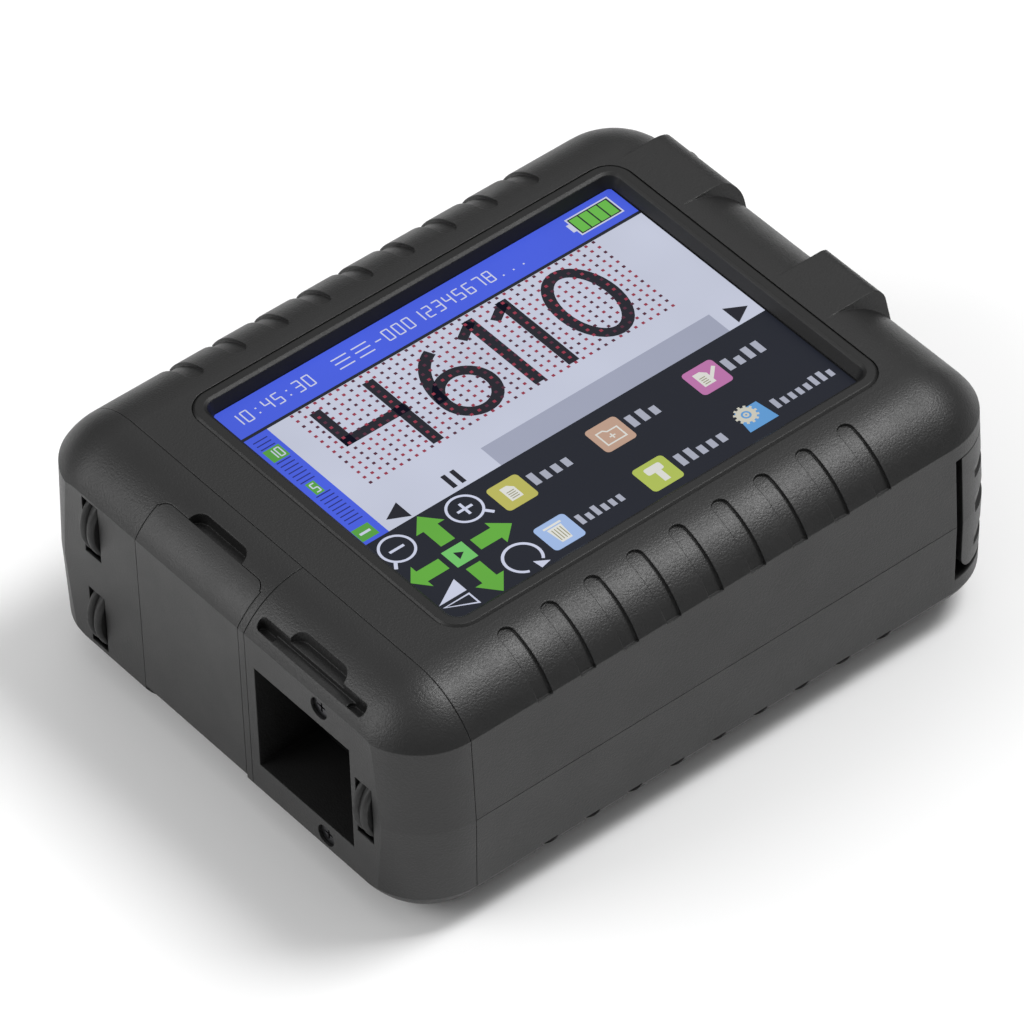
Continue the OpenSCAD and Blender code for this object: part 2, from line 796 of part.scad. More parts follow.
module print_switch_board() {
  y = flange_y - button_travel - gap - 1.42;
  color([0.05, 0.3, 0.12])
    slab([print_x - 8, print_x + 8], [y - 0.9, y], [print_z - 4.5, print_z + 4.5]);
}

module usb_port() {
  x0 = 42.6;
  color([0.75, 0.75, 0.77]) translate([x0, usb_y, usb_z]) rotate([90, 0, 90]) {
    linear_extrude(port_x - 2.1 - x0) difference() {
      rrect(usb_w, usb_h, 1.5);
      rrect(usb_w - 0.6, usb_h - 0.6, 1.2);
    }
    linear_extrude(0.8) rrect(usb_w, usb_h, 1.5);
    linear_extrude(port_x - 3 - x0) square([6.6, 0.7], center = true);
  }
}

module power_jack() {
  color([0.07, 0.07, 0.07]) union() {
    difference() {
      slab([42.5, port_x - 2.1], [jack_y - 3, jack_y + 3], [board_z + board_t + 0.02, 37.7]);
      rod_x(43.5, far, jack_y, jack_z, 2.4);
    }
    rod_x(43, port_x - 3, jack_y, jack_z, 0.7);
  }
}

module buzzer() {
  color([0.05, 0.05, 0.05]) difference() {
    rod_z(-29, -34.4, board_z - 2.5, board_z - 0.02, 2.4);
    rod_z(-29, -34.4, board_z - 3, board_z - 1.8, 0.7);
  }
}

// ---------- screws ----------

module cross_slot(r) {
  for (a = [0, 90]) rotate(a) cube([2 * r * 0.62, 0.32, 0.9], center = true);
}

module shell_screws() {
  color([0.3, 0.3, 0.32]) for (x = shell_screw_x, s = [-1, 1])
    translate([x, s * shell_screw_y, 0]) difference() {
      union() {
        rod_z(0, 0, 10.3, 11.95, 2);
        rod_z(0, 0, 11.9, 26, 1);
      }
      translate([0, 0, 10.3]) cross_slot(2);
    }
}

module face_screws() {
  color([0.3, 0.3, 0.32]) for (z = face_screw_z)
    translate([-front_x + 0.5, face_screw_y, z]) rotate([0, 90, 0]) difference() {
      union() {
        cylinder(r = 1.6, h = 1);
        cylinder(r = 0.75, h = 12.6);
      }
      cross_slot(1.6);
    }
}

module board_screws() {
  color([0.6, 0.6, 0.62]) for (x = boss_x, s = [-1, 1])
    translate([x, s * boss_y, 0]) difference() {
      union() {
        rod_z(0, 0, board_z - 1.2, board_z - 0.02, 1.6);
        rod_z(0, 0, board_z - 0.1, board_z + 4.2, 0.8);
      }
      translate([0, 0, board_z - 1.2]) cross_slot(1.6);
    }
}

top_shell();
bottom_shell();
left_end_cap();
right_end_cap();
nozzle_cap();
cap_seal();
tail_cover();
hinge_pins();
display_bezel();
touch_panel();
lcd_module();
main_board();
board_chips();
lcd_ribbon();
cartridge_bay();
contact_board();
contact_springs();
battery_pack();
battery_plug();
upper_wheel_hub();
upper_wheel_tyre();
lower_wheel_hub();
lower_wheel_tyre();
encoder_wheel_hub();
encoder_wheel_tyre();
guide_axles();
encoder_shaft();
encoder_magnet();
encoder_sensor();
power_button();
power_switch();
print_button();
print_switch();
print_switch_board();
usb_port();
power_jack();
buzzer();
shell_screws();
face_screws();
board_screws();
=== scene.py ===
"""Looks of a handheld date code inkjet printer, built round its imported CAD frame.

Row frame in metres: +Z up through the display, print face toward -X, tail toward +X.
"""

import json
import math
import random

import bpy
from mathutils import Matrix, Vector


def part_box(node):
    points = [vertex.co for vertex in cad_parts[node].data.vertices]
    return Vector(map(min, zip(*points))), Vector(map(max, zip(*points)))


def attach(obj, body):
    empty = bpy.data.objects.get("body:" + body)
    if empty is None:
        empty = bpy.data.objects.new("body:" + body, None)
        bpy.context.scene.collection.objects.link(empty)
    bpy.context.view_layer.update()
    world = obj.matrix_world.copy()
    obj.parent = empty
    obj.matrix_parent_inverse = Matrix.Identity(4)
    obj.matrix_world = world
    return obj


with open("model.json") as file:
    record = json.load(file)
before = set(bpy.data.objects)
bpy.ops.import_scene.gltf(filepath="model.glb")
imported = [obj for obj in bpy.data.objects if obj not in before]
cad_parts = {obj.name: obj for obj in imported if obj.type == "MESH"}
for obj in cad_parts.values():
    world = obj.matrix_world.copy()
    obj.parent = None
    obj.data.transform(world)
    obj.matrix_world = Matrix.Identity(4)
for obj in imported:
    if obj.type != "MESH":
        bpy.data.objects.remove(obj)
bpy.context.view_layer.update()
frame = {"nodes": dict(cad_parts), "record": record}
nodes = frame["nodes"]
random.seed(11)
MM = 0.001
SRGB_GAMMA = 2.2


# ---------------------------------------------------------------- materials

def lin(r, g, b):
    """A colour given as seen on a screen (0 to 255), as linear light."""
    return tuple((c / 255.0) ** SRGB_GAMMA for c in (r, g, b)) + (1.0,)


class Shader:
    """A node material whose texture space is the row frame in millimetres."""

    BEVEL_SAMPLES = 4

    def __init__(self, name):
        self.mat = bpy.data.materials.new(name)
        self.mat.use_nodes = True
        self.tree = self.mat.node_tree
        self.tree.nodes.clear()
        self.out = self.tree.nodes.new("ShaderNodeOutputMaterial")
        self.bsdf = self.tree.nodes.new("ShaderNodeBsdfPrincipled")
        self.link(self.bsdf.outputs["BSDF"], self.out.inputs["Surface"])
        coord = self.tree.nodes.new("ShaderNodeTexCoord")
        scale = self.tree.nodes.new("ShaderNodeVectorMath")
        scale.operation = "SCALE"
        scale.inputs["Scale"].default_value = 1 / MM
        self.link(coord.outputs["Object"], scale.inputs[0])
        self.mm = scale.outputs[0]
        self.normal = None

    def link(self, a, b):
        self.tree.links.new(a, b)

    def set(self, **values):
        for key, value in values.items():
            self.bsdf.inputs[key.replace("_", " ")].default_value = value
        return self

    def noise(self, per_mm, detail=2.0, stretch=(1, 1, 1), rough=0.5):
        vec = self.mm
        if tuple(stretch) != (1, 1, 1):
            mul = self.tree.nodes.new("ShaderNodeVectorMath")
            mul.operation = "MULTIPLY"
            mul.inputs[1].default_value = stretch
            self.link(vec, mul.inputs[0])
            vec = mul.outputs[0]
        n = self.tree.nodes.new("ShaderNodeTexNoise")
        n.inputs["Scale"].default_value = per_mm
        n.inputs["Detail"].default_value = detail
        n.inputs["Roughness"].default_value = rough
        self.link(vec, n.inputs["Vector"])
        return n.outputs["Fac"]

    def remap(self, value, lo, hi, from_lo=0.3, from_hi=0.7):
        n = self.tree.nodes.new("ShaderNodeMapRange")
        n.inputs["From Min"].default_value = from_lo
        n.inputs["From Max"].default_value = from_hi
        n.inputs["To Min"].default_value = lo
        n.inputs["To Max"].default_value = hi
        self.link(value, n.inputs["Value"])
        return n.outputs["Result"]

    def mix(self, factor, a, b):
        n = self.tree.nodes.new("ShaderNodeMix")
        n.data_type = "RGBA"
        for value, socket in ((factor, n.inputs[0]), (a, n.inputs[6]), (b, n.inputs[7])):
            if isinstance(value, (tuple, float, int)):
                socket.default_value = value
            else:
                self.link(value, socket)
        return n.outputs[2]

    def math(self, kind, a, b):
        n = self.tree.nodes.new("ShaderNodeMath")
        n.operation = kind
        for value, socket in ((a, n.inputs[0]), (b, n.inputs[1])):
            if isinstance(value, (float, int)):
                socket.default_value = value
            else:
                self.link(value, socket)
        return n.outputs[0]

    def bevel(self, radius_mm):
        n = self.tree.nodes.new("ShaderNodeBevel")
        n.samples = self.BEVEL_SAMPLES
        n.inputs["Radius"].default_value = radius_mm * MM
        return n.outputs["Normal"]

    def soft_edges(self, radius_mm):
        self.normal = self.bevel(radius_mm)
        return self

    def bump(self, height, depth_mm, strength=1.0):
        n = self.tree.nodes.new("ShaderNodeBump")
        n.inputs["Strength"].default_value = strength
        n.inputs["Distance"].default_value = depth_mm * MM
        self.link(height, n.inputs["Height"])
        if self.normal is not None:
            self.link(self.normal, n.inputs["Normal"])
        self.normal = n.outputs["Normal"]
        return self

    def worn_edges(self, radius_mm, amount):
        """0 on flat skin, rising where an edge is tight."""
        geo = self.tree.nodes.new("ShaderNodeNewGeometry")
        dot = self.tree.nodes.new("ShaderNodeVectorMath")
        dot.operation = "DOT_PRODUCT"
        self.link(self.bevel(radius_mm), dot.inputs[0])
        self.link(geo.outputs["Normal"], dot.inputs[1])
        return self.remap(dot.outputs["Value"], amount, 0.0, 0.75, 0.99)

    def done(self):
        if self.normal is not None:
            self.link(self.normal, self.bsdf.inputs["Normal"])
        return self.mat


def moulded(name, shade, rough, grain_mm=0.3, grain_depth=0.075, edge_mm=0.22, spread=0.03,
            wear=0.35):
    """Moulded plastic: spark-eroded grain, uneven sheen, slightly rubbed edges."""
    s = Shader(name)
    base = lin(*shade)
    pale = tuple(min(1.0, c * 1.9 + 0.008) for c in base[:3]) + (1.0,)
    dark = tuple(c * 0.9 for c in base[:3]) + (1.0,)
    blotch = s.remap(s.noise(0.09, 3), 0.0, 1.0)
    skin = s.mix(blotch, dark, base)
    rub = s.math("MULTIPLY", s.worn_edges(edge_mm * 1.6, wear), s.remap(s.noise(0.8, 4), 0.2, 1.0))
    s.link(s.mix(rub, skin, pale), s.bsdf.inputs["Base Color"])
    fine = s.noise(1 / grain_mm, 2.5, rough=0.6)
    sheen = s.math("ADD", s.remap(s.noise(0.16, 3), -spread, spread),
                   s.remap(fine, rough - 0.04, rough + 0.05))
    s.link(sheen, s.bsdf.inputs["Roughness"])
    s.soft_edges(edge_mm)
    s.bump(fine, grain_depth, 0.8)
    return s.done()


def rubber(name, shade, rough=0.75):
    """Matt rubber with a fine, uneven skin."""
    s = Shader(name)
    s.link(s.mix(s.remap(s.noise(0.7, 4), 0, 1), lin(*shade), lin(*[c * 1.35 for c in shade])),
           s.bsdf.inputs["Base Color"])
    s.link(s.remap(s.noise(1.2, 3), rough - 0.1, rough + 0.1), s.bsdf.inputs["Roughness"])
    s.soft_edges(0.15)
    s.bump(s.noise(7, 3), 0.012, 0.7)
    return s.done()


def metal(name, shade, rough, along=(1, 1, 1)):
    """Metal with tool streaks; along squeezes the streaks on each axis."""
    s = Shader(name)
    streak = s.noise(5, 4, along)
    s.set(Metallic=1.0)
    s.link(s.mix(s.remap(s.noise(0.4, 3), 0, 1), lin(*shade),
                 lin(*[min(255, c * 1.12) for c in shade])),
           s.bsdf.inputs["Base Color"])
    s.link(s.remap(streak, rough - 0.08, rough + 0.1), s.bsdf.inputs["Roughness"])
    s.soft_edges(0.08)
    s.bump(streak, 0.004, 0.5)
    return s.done()


def circuit_board(name):
    """Green lacquer over a net of raised tracks."""
    s = Shader(name)
    tracks = s.tree.nodes.new("ShaderNodeTexBrick")
    tracks.inputs["Scale"].default_value = 0.55
    tracks.inputs["Mortar Size"].default_value = 0.05
    tracks.inputs["Color1"].default_value = lin(18, 78, 42)
    tracks.inputs["Color2"].default_value = lin(24, 92, 50)
    tracks.inputs["Mortar"].default_value = lin(48, 128, 74)
    s.link(s.mm, tracks.inputs["Vector"])
    s.link(tracks.outputs["Color"], s.bsdf.inputs["Base Color"])
    s.link(s.remap(s.noise(0.5, 3), 0.28, 0.42), s.bsdf.inputs["Roughness"])
    s.bump(tracks.outputs["Fac"], 0.02, 0.5)
    return s.done()


def film(name, shade, rough=0.3, weave=1.4):
    """Thin glossy sheet with a cloudy tone, for ribbons and wraps."""
    s = Shader(name)
    s.link(s.mix(s.remap(s.noise(weave, 3), 0, 1), lin(*shade),
                 lin(*[min(255, c * 1.2) for c in shade])),
           s.bsdf.inputs["Base Color"])
    s.link(s.remap(s.noise(0.4, 2), rough - 0.08, rough + 0.1), s.bsdf.inputs["Roughness"])
    s.bump(s.noise(weave * 0.5, 3), 0.03, 0.5)
    return s.done()


def lit(name, shade, glow=0.9, cell_mm=0.219, grid=0.10):
    """One colour of the lit picture, broken up by the panel's cells."""
    s = Shader(name)
    sep = s.tree.nodes.new("ShaderNodeSeparateXYZ")
    s.link(s.mm, sep.inputs[0])
    lines = None
    for axis in ("X", "Y"):
        wave = s.math("SINE", s.math("MULTIPLY", sep.outputs[axis], 2 * math.pi / cell_mm), 0.0)
        lines = wave if lines is None else s.math("ADD", lines, wave)
    cells = s.remap(lines, 1.0 - grid, 1.0, -2.0, 2.0)
    drift = s.remap(s.noise(0.05, 2), 0.94, 1.04)
    power = s.math("MULTIPLY", s.math("MULTIPLY", cells, drift), glow)
    s.set(Base_Color=tuple(c * 0.06 for c in lin(*shade)[:3]) + (1.0,), Emission_Color=lin(*shade))
    s.link(power, s.bsdf.inputs["Emission Strength"])
    s.link(s.remap(s.noise(1.5, 2), 0.3, 0.4), s.bsdf.inputs["Roughness"])
    s.set(Specular_IOR_Level=0.25)
    s.bump(s.noise(3, 2), 0.002, 0.3)
    return s.done()


def touch_film(name):
    """The dark, faintly smeared sheet over the display."""
    s = Shader(name)
    s.set(Base_Color=lin(16, 17, 22), Specular_IOR_Level=0.3)
    s.link(s.remap(s.noise(0.2, 4), 0.2, 0.34), s.bsdf.inputs["Roughness"])
    s.bump(s.noise(2, 3), 0.002, 0.3)
    return s.done()


FINISH = {
    "case_plastic": moulded("case_plastic", (33, 33, 33), 0.42),
    "cap_plastic": moulded("cap_plastic", (36, 36, 36), 0.42, grain_mm=0.25,
                           grain_depth=0.04),
    "bezel_plastic": moulded("bezel_plastic", (17, 17, 17), 0.5, grain_depth=0.02, wear=0.2),
    "hub_plastic": moulded("hub_plastic", (18, 18, 18), 0.5, grain_depth=0.006, edge_mm=0.1),
    # bay_plastic is darker and duller than case_plastic: painted shade for the deep recess behind
    # the print window
    "bay_plastic": moulded("bay_plastic", (23, 23, 23), 0.8, grain_depth=0.01, edge_mm=0.15,
                           wear=0.1),
    "plug_plastic": moulded("plug_plastic", (214, 208, 188), 0.4, edge_mm=0.15, wear=0.1),
    "chip": moulded("chip", (30, 30, 31), 0.55, edge_mm=0.08, wear=0.2),
    "seal_rubber": rubber("seal_rubber", (92, 92, 94)),
    "tyre_rubber": rubber("tyre_rubber", (15, 15, 15), 0.5),
    "button_rubber": rubber("button_rubber", (48, 48, 48), 0.6),
    "steel": metal("steel", (188, 188, 192), 0.28, (1, 0.1, 1)),
    "black_steel": metal("black_steel", (70, 70, 72), 0.34),
    "port_metal": metal("port_metal", (190, 190, 194), 0.3, (0.1, 1, 1)),
    "gold": metal("gold", (222, 182, 96), 0.25),
    "circuit": circuit_board("circuit"),
    "ribbon": film("ribbon", (178, 112, 40), 0.3),
    "cell_wrap": film("cell_wrap", (36, 74, 150), 0.3, 0.6),
    "touch_glass": touch_film("touch_glass"),
    "screen": film("screen", (60, 66, 90), 0.3),
}


def dress(obj, material):
    obj.data.materials.clear()
    obj.data.materials.append(material)


for part in frame["record"]["subparts"]:
    dress(nodes[part["node"]], FINISH[part["material_slot"]])


# ---------------------------------------------------------------- lit picture on the display

# the picture is 320 by 240 cells, drawn in layers just above the touch panel
CELLS_X, CELLS_Y = 320, 240
panel_low, panel_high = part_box("touch_panel")
CELL = 0.219 * MM
SCREEN_MID = Vector(((panel_low.x + panel_high.x) / 2, 0.0))
SCREEN_Z = panel_high.z
LAYER = 0.012 * MM


def on_screen(u, v, z):
    """A point of the picture, in the display's own cells from its top left corner."""
    return (SCREEN_MID.x + (u - CELLS_X / 2) * CELL, (CELLS_Y / 2 - v) * CELL, z)


class Picture:
    """Flat shapes of one colour, one thin layer each."""

    AIR = 0.002 * MM

    def __init__(self, name, layer, material):
        self.name, self.material = name, material
        self.z0 = SCREEN_Z + (layer - 1) * LAYER + self.AIR
        self.z1 = SCREEN_Z + layer * LAYER
        self.verts, self.faces = [], []

    def poly(self, points):
        """A convex outline, raised into a thin chip."""
        n, k = len(points), len(self.verts)
        for z in (self.z0, self.z1):
            self.verts += [on_screen(u, v, z) for u, v in points]
        self.faces.append([k + n + i for i in range(n)])
        for i in range(n):
            j = (i + 1) % n
            self.faces.append([k + i, k + j, k + n + j, k + n + i])
        return self

    def rect(self, u0, v0, u1, v1):
        return self.poly([(u0, v1), (u1, v1), (u1, v0), (u0, v0)])

    def tile(self, u0, v0, u1, v1, r=3.0, steps=5):
        pts = []
        for cu, cv, start in ((u1 - r, v0 + r, -90), (u1 - r, v1 - r, 0),
                              (u0 + r, v1 - r, 90), (u0 + r, v0 + r, 180)):
            for i in range(steps + 1):
                a = math.radians(start + 90 * i / steps)
                pts.append((cu + r * math.cos(a), cv + r * math.sin(a)))
        return self.poly(pts[::-1])

    def line(self, points, width, closed=False):
        """A stroke of even width along a path."""
        n = len(points)
        left, right = [], []
        for i, p in enumerate(points):
            a = points[i - 1] if (i or closed) else p
            b = points[(i + 1) % n] if (i < n - 1 or closed) else p
            d1 = Vector((p[0] - a[0], p[1] - a[1]))
            d2 = Vector((b[0] - p[0], b[1] - p[1]))
            d1 = d1.normalized() if d1.length else d2.normalized()
            d2 = d2.normalized() if d2.length else d1
            mean = (d1 + d2).normalized() if (d1 + d2).length > 1e-6 else d1
            side = Vector((-mean.y, mean.x)) * (width / 2 / max(0.5, mean.dot(d1)))
            left.append((p[0] + side.x, p[1] + side.y))
            right.append((p[0] - side.x, p[1] - side.y))
        for i in range(n if closed else n - 1):
            j = (i + 1) % n
            self.poly([left[i], left[j], right[j], right[i]])
        return self

    def ring(self, cu, cv, ru, rv, width, start=0, sweep=360, steps=40):
        full = sweep >= 360
        pts = [(cu + ru * math.cos(math.radians(start + sweep * i / steps)),
                cv + rv * math.sin(math.radians(start + sweep * i / steps)))
               for i in range(steps if full else steps + 1)]
        return self.line(pts, width, full)

    def build(self):
        mesh = bpy.data.meshes.new(self.name)
        mesh.from_pydata(self.verts, [], self.faces)
        mesh.update()
        obj = bpy.data.objects.new(self.name, mesh)
        bpy.context.scene.collection.objects.link(obj)
        dress(obj, self.material)
        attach(obj, "case")
        return obj


DOT_HALF = 0.6  # half side of a point or colon dot, in stroke widths
SEGMENTS = {"0": "abcdef", "1": "bc", "2": "abged", "3": "abgcd", "4": "fgbc", "5": "afgcd",
            "6": "afgedc", "7": "abc", "8": "abcdefg", "9": "gfabcd", "-": "g"}


def digits(pic, text, u, v, w, h, pitch, width):
    """Plain numerals built from seven strokes."""
    corner = {"a": ((0, 0), (w, 0)), "b": ((w, 0), (w, h / 2)), "c": ((w, h / 2), (w, h)),
              "d": ((0, h), (w, h)), "e": ((0, h / 2), (0, h)), "f": ((0, 0), (0, h / 2)),
              "g": ((0, h / 2), (w, h / 2))}
    for i, ch in enumerate(text):
        x = u + i * pitch
        if ch in ":.":
            for y in ((h * 0.3, h * 0.8) if ch == ":" else (h,)):
                pic.rect(x + w / 2 - width * DOT_HALF, v + y - width * DOT_HALF,
                         x + w / 2 + width * DOT_HALF, v + y + width * DOT_HALF)
        for s in SEGMENTS.get(ch, ""):
            (x0, y0), (x1, y1) = corner[s]
            pic.line([(x + x0, v + y0), (x + x1, v + y1)], width)


def arrow(pic, cu, cv, angle, tail, neck, head, half, wide):
    """A block arrow pointing along angle, from tail to head, measured from the pad's centre."""
    c, s = math.cos(math.radians(angle)), math.sin(math.radians(angle))

    def at(a, b):
        return (cu + a * c - b * s, cv + a * s + b * c)

    pic.poly([at(tail, half), at(neck, half), at(neck, -half), at(tail, -half)][::-1])
    pic.poly([at(neck, wide), at(head, 0), at(neck, -wide)][::-1])


# borders between the blue band, the preview, the menu and the ruler, in cells
BAND_V, AREA_V, MENU_V = 28.5, 31.0, 151.0
RULER_U = 18.5
white = lit("lit_white", (205, 210, 232))
ink = lit("lit_black", (27, 28, 40))

back = Picture("screen_band", 1, lit("lit_blue", (70, 94, 226)))
back.rect(0, 0, CELLS_X, BAND_V).rect(0, AREA_V, RULER_U, MENU_V)
back.build()
area = Picture("screen_preview", 1, lit("lit_pale", (198, 203, 222)))
area.rect(RULER_U, AREA_V, CELLS_X, MENU_V)
area.build()
menu = Picture("screen_menu", 1, lit("lit_navy", (26, 30, 42)))
menu.rect(0, MENU_V, CELLS_X, CELLS_Y).rect(0, BAND_V, CELLS_X, AREA_V)
menu.build()
bar = Picture("screen_scroll_bar", 2, lit("lit_grey", (160, 165, 186)))
bar.rect(107, 131, 291, MENU_V)
bar.build()

# ruler
ticks = Picture("screen_ruler_ticks", 2, lit("lit_deep_blue", (34, 44, 120)))
MM_CELLS, RULER_FOOT, TICKS = 7.8, 130, 25
for i in range(TICKS):
    v = RULER_FOOT - i * MM_CELLS / 2
    if not (45 < v < 59 or 84 < v < 98):
        ticks.rect(3.5, v - 0.45, 14.5, v + 0.45)
ticks.build()
tags = Picture("screen_ruler_tags", 2, lit("lit_green", (86, 160, 66)))
tags.rect(3, 46, 15.5, 58).rect(5, 85.5, 11.5, 97.5).rect(0.5, 136, 13.5, 148)
tags.build()
marks = Picture("screen_ruler_numbers", 3, white)
digits(marks, "10", 5, 48, 3.2, 8, 5.4, 0.9)
digits(marks, "5", 6.8, 87.5, 3.2, 8, 5, 0.9)
marks.rect(3, 141, 11, 143)

# clock, count and battery in the top band
BAND_DIGIT = (4.6, 10, 8.1, 0.95)  # width, height, pitch, stroke
digits(marks, "10:45:30", 6, 9, *BAND_DIGIT)
for u in (86, 102):
    marks.rect(u, 9, u + 12, 10).rect(u, 18.5, u + 12, 19.5).rect(u, 13.5, u + 12, 14.5)
digits(marks, "-00012345678...", 118, 9, *BAND_DIGIT)
marks.line([(279, 5.3), (312.6, 5.3), (312.6, 22.3), (279, 22.3)], 1.1, True)
marks.rect(276, 9.5, 278.6, 17.5)
cell_bed = Picture("screen_battery_bed", 2, ink)
cell_bed.rect(279.6, 5.9, 312, 21.7)
cell_bed.build()
cells = Picture("screen_battery_cells", 3, lit("lit_leaf", (104, 186, 74)))
CELL_PITCH = 7.8
for i in range(4):
    cells.rect(280.6 + i * CELL_PITCH, 6.8, 287.3 + i * CELL_PITCH, 20.8)
cells.build()

# dot grid and the sample code
code = Picture("screen_code", 2, ink)
STROKE = 8.2
code.line([(50, 38.5), (50, 76), (50, 76)], STROKE)
code.rect(46, 68, 97, 76).rect(87.6, 38.5, 96, 109)
code.ring(134, 86, 18, 19, STROKE)
code.ring(146, 84, 30, 42, STROKE, 180, 74, 20)
for u in (172, 199):
    code.rect(u - 3, 36, u + 5.4, 109).line([(u - 12, 48), (u + 2, 38.5)], 7)
code.ring(241, 73, 19.5, 32, STROKE)
code.build()
DOT_PITCH, DOT_SQUEEZE, DOT_COLUMNS, DOT_ROWS, DOT = 6.06, 0.985, 41, 14, 1.05
red = Picture("screen_dots_red", 3, lit("lit_red", (150, 52, 72)))
plum = Picture("screen_dots_dark", 3, lit("lit_plum", (84, 38, 58)))
for i in range(DOT_COLUMNS):
    for j in range(DOT_ROWS):
        u, v = 37 + i * DOT_PITCH, 32.5 + j * DOT_PITCH * DOT_SQUEEZE
        (red if random.random() < 0.6 else plum).rect(u - DOT, v - DOT, u + DOT, v + DOT)
red.build()
plum.build()
signs = Picture("screen_step_signs", 3, ink)
signs.poly([(23.5, 142), (37.5, 149.6), (37.5, 134)])
signs.poly([(300.5, 132.5), (300.5, 149), (314.5, 140.8)])
signs.rect(72, 134.5, 75.4, 147.6).rect(79, 134.5, 82.4, 147.6)
signs.build()

# keypad
pad = Picture("screen_arrow_keys", 2, lit("lit_grass", (98, 172, 62)))
PAD_U, PAD_V = 38.5, 194.6
KEY_TAIL, KEY_HALF, KEY_WIDE = 12.5, 5.5, 11
for shift, angle, neck, head in ((0, 0, 28.5, 41), (0, 180, 29.5, 38.4), (0, 90, 28.5, 42),
                                 (1, -90, 29.5, 42.5)):
    arrow(pad, PAD_U + shift, PAD_V, angle, KEY_TAIL, neck, head, KEY_HALF, KEY_WIDE)
pad.build()
key = Picture("screen_start_key", 2, lit("lit_mint", (112, 196, 104)))
key.rect(30.2, 186.6, 46.2, 203)
key.build()
play = Picture("screen_start_sign", 3, ink)
play.poly([(36, 198.2), (41.6, 194.6), (36, 191)])
play.build()
# zoom out, zoom in, turn and mirror signs
marks.ring(12.6, 166, 11.4, 11.4, 1.8).rect(6.8, 165, 18, 167)
marks.line([(4.6, 174.4), (1, 179.6)], 2.4)
marks.ring(65.8, 166, 11.6, 11.6, 1.8).rect(60, 165, 71.6, 167).rect(64.8, 160.4, 66.8, 171.6)
marks.line([(73.8, 174.4), (78, 179.8)], 2.4)
marks.ring(65.4, 222.2, 12.4, 12.4, 2, 110, 292)
marks.poly([(68, 228.6), (69, 236.4), (77, 234.6)])
marks.poly([(0.6, 221.4), (22, 221.4), (22, 209)][::-1])
marks.line([(2.2, 224.6), (21.2, 224.6), (21.2, 234.6)], 1.2, True)


def sheet(pic, u, v, w=9, h=13):
    """A page with one folded corner."""
    pic.poly([(u, v + h), (u + w, v + h), (u + w, v + 3.4), (u + w - 3.4, v), (u, v)])


# menu tiles: colour, left, top
TILES = {
    "sand": ((186, 182, 92), 84.6, 162), "tan": ((192, 158, 138), 163, 162),
    "pink": ((190, 116, 172), 241, 162), "sky": ((158, 184, 228), 84.2, 207.6),
    "lime": ((176, 192, 88), 162.6, 207.6), "blue": ((96, 156, 214), 241.2, 208.6),
}
for name, (shade, u, v) in TILES.items():
    tile = Picture("screen_tile_" + name, 2, lit("lit_" + name, shade))
    if name == "blue":
        tile.poly([(u, v + 20.6), (u + 23, v + 20.6), (u + 20.6, v + 1.4), (u + 3, v + 1.4)])
    else:
        tile.tile(u, v, u + 24.4, v + 24)
    tile.build()
icons = Picture("screen_tile_icons", 3, lit("lit_cream", (222, 222, 216)))
sheet(icons, 92, 167)
icons.line([(168, 168.4), (173, 168.4), (175, 170.6), (182.6, 170.6), (182.6, 180.6),
            (168, 180.6)], 1.1, True)
icons.rect(173.2, 175, 177.6, 176).rect(174.9, 173.2, 175.9, 177.8)
sheet(icons, 246.6, 167)
icons.line([(262.6, 168.4), (255, 176)], 2.6)
icons.rect(89.6, 211.4, 103.2, 213)
icons.poly([(101.8, 214), (100.4, 227.6), (92.4, 227.6), (91, 214)])
icons.tile(169, 211.6, 181.6, 218, 1.6).rect(174, 217.5, 178.6, 227.6)
icons.build()
gear = Picture("screen_gear", 3, lit("lit_gear", (206, 204, 190)))
GEAR_U, GEAR_V, TEETH = 249.4, 215.4, 12
gear.ring(GEAR_U, GEAR_V, 5, 5, 3.2).ring(GEAR_U, GEAR_V, 1.4, 1.4, 1.2)
for i in range(TEETH):
    a = 2 * math.pi * i / TEETH
    gear.line([(GEAR_U + r * math.cos(a), GEAR_V + r * math.sin(a)) for r in (6, 8.2)], 1.8)
gear.build()
notes = Picture("screen_icon_lines", 4, lit("lit_icon_line", (150, 148, 120)))
for i in range(4):
    notes.rect(93.6, 172 + i * 1.9, 99.4, 172.7 + i * 1.9)
    notes.rect(248.2, 172 + i * 1.9, 252.6, 172.7 + i * 1.9)
for i in range(4):
    notes.rect(93 + i * 2.1, 215.6, 93.7 + i * 2.1, 226)
notes.build()

# captions: plain blocks in place of words
caption = Picture("screen_captions", 3, lit("lit_caption", (168, 172, 188)))
CAPTIONS = (  # left, top, blocks, pitch, height
    (112, 168, 4, 8.2, 11), (190.4, 168, 3, 8.4, 11), (268, 168, 4, 8.2, 11),
    (111.4, 215, 6, 6.1, 9), (191, 214, 5, 7.9, 11), (268, 215, 8, 6.2, 9))
TALL_SHARE, SHORT_DROP, BLOCK = 0.35, 0.3, 0.58
for u, v, count, pitch, high in CAPTIONS:
    for i in range(count):
        top = v if i == 0 or random.random() < TALL_SHARE else v + high * SHORT_DROP
        caption.rect(u + i * pitch, top, u + i * pitch + pitch * BLOCK, v + high)
caption.build()
marks.build()


# ---------------------------------------------------------------- studio

def plane(name, half):
    mesh = bpy.data.meshes.new(name)
    corners = [(-half, -half, 0), (half, -half, 0), (half, half, 0), (-half, half, 0)]
    mesh.from_pydata(corners, [], [(0, 1, 2, 3)])
    obj = bpy.data.objects.new(name, mesh)
    bpy.context.scene.collection.objects.link(obj)
    return obj


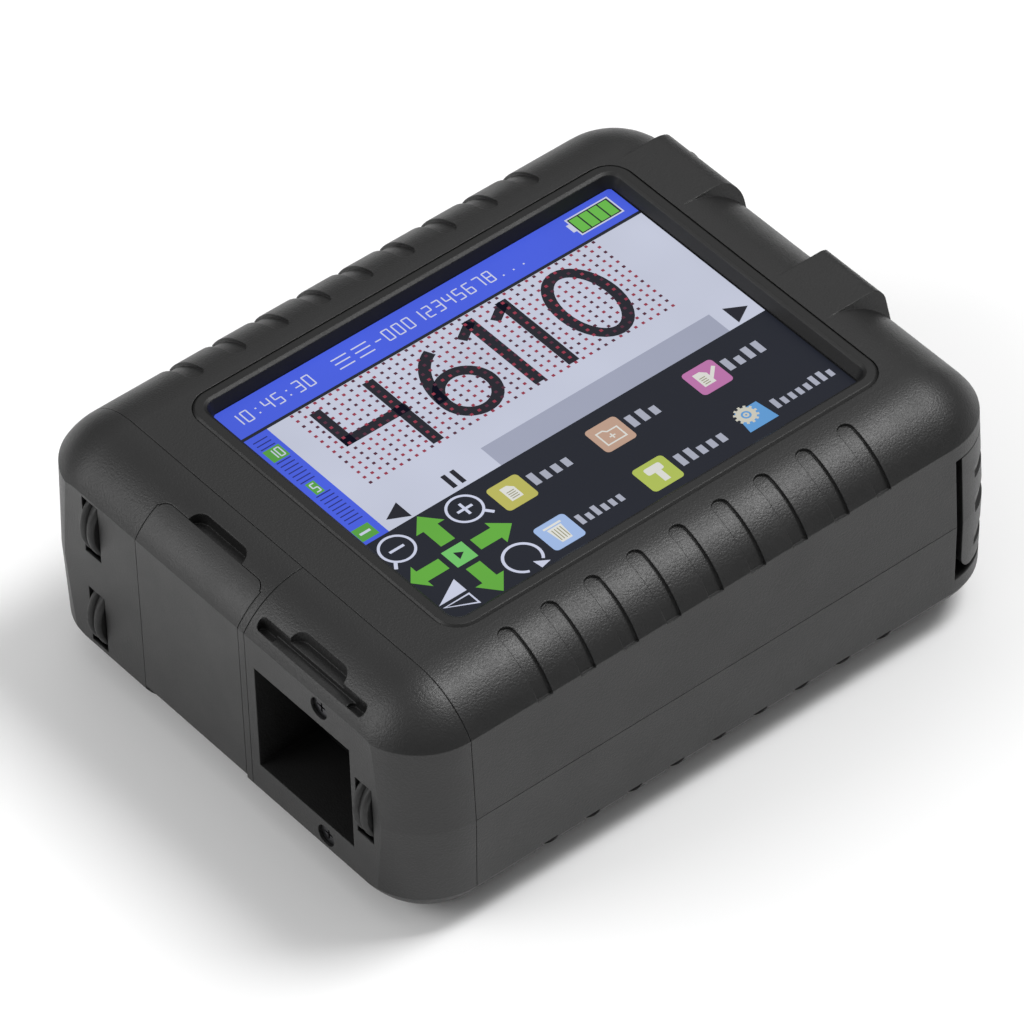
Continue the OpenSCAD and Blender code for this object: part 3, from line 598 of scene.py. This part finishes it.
# light of the sky at the horizon and from SKY_TOP up, and what the camera sees behind the floor
SKY_LOW, SKY_HIGH, SKY_TOP, BACKDROP = 0.0, 0.56, 0.8, 0.46
floor = plane("floor", 6.0)
paper = Shader("paper")
tone = paper.remap(paper.noise(0.01, 3), 0, 1)
paper.link(paper.mix(tone, lin(250, 250, 250), lin(252, 252, 252)), paper.bsdf.inputs["Base Color"])
paper.set(Roughness=0.9, Specular_IOR_Level=0.1)
dress(floor, paper.done())


def softbox(name, position, power, size, aim=(0, 0, 0.02)):
    light = bpy.data.lights.new(name, "AREA")
    light.shape = "RECTANGLE"
    light.size, light.size_y = size
    light.energy = power
    obj = bpy.data.objects.new(name, light)
    bpy.context.scene.collection.objects.link(obj)
    obj.location = position
    obj.rotation_euler = (Vector(aim) - Vector(position)).to_track_quat("-Z", "Y").to_euler()
    return obj


softbox("key_left", (-1.2, 0.6, 0.8), 10, (0.9, 0.9))
softbox("overhead", (0.6, -0.25, 1.25), 12, (0.42, 0.6))
softbox("behind", (1.0, 0.9, 1.1), 1, (1.2, 1.0))

world = bpy.data.worlds.new("studio")
bpy.context.scene.world = world
world.use_nodes = True
sky = world.node_tree
sky.nodes["Background"].inputs["Color"].default_value = (1, 1, 1, 1)
coord = sky.nodes.new("ShaderNodeTexCoord")
height = sky.nodes.new("ShaderNodeSeparateXYZ")
fade = sky.nodes.new("ShaderNodeMapRange")
for key, value in (("From Min", 0.0), ("From Max", SKY_TOP), ("To Min", SKY_LOW),
                   ("To Max", SKY_HIGH)):
    fade.inputs[key].default_value = value
sky.links.new(coord.outputs["Generated"], height.inputs[0])
sky.links.new(height.outputs["Z"], fade.inputs["Value"])
# reflections see the graded sky, the camera an even pale backdrop
seen = sky.nodes.new("ShaderNodeLightPath")
pick = sky.nodes.new("ShaderNodeMix")
pick.inputs["B"].default_value = BACKDROP
sky.links.new(seen.outputs["Is Camera Ray"], pick.inputs["Factor"])
sky.links.new(fade.outputs["Result"], pick.inputs["A"])
sky.links.new(pick.outputs["Result"], sky.nodes["Background"].inputs["Strength"])

# the camera stands off to the front left, looking down
AZIMUTH, ELEVATION, ROLL = map(math.radians, (-38.034, 44.069, 2.066))
CAMERA_AT = Vector((-0.53735, -0.68455, 0.86138))
SENSOR, LENS = 36.0, 311.64
back_dir = Vector((math.sin(AZIMUTH) * math.cos(ELEVATION),
                   -math.cos(AZIMUTH) * math.cos(ELEVATION), math.sin(ELEVATION)))
right0 = Vector((math.cos(AZIMUTH), math.sin(AZIMUTH), 0))
up0 = back_dir.cross(right0)
right = right0 * math.cos(ROLL) - up0 * math.sin(ROLL)
up = right0 * math.sin(ROLL) + up0 * math.cos(ROLL)
camera = bpy.data.objects.new("camera", bpy.data.cameras.new("camera"))
bpy.context.scene.collection.objects.link(camera)
camera.data.sensor_width = SENSOR
camera.data.lens = LENS
camera.data.clip_end = 20
camera.matrix_world = Matrix((
    (right.x, up.x, back_dir.x, CAMERA_AT.x), (right.y, up.y, back_dir.y, CAMERA_AT.y),
    (right.z, up.z, back_dir.z, CAMERA_AT.z), (0, 0, 0, 1)))
bpy.context.scene.camera = camera
bpy.context.scene.view_settings.view_transform = "Standard"
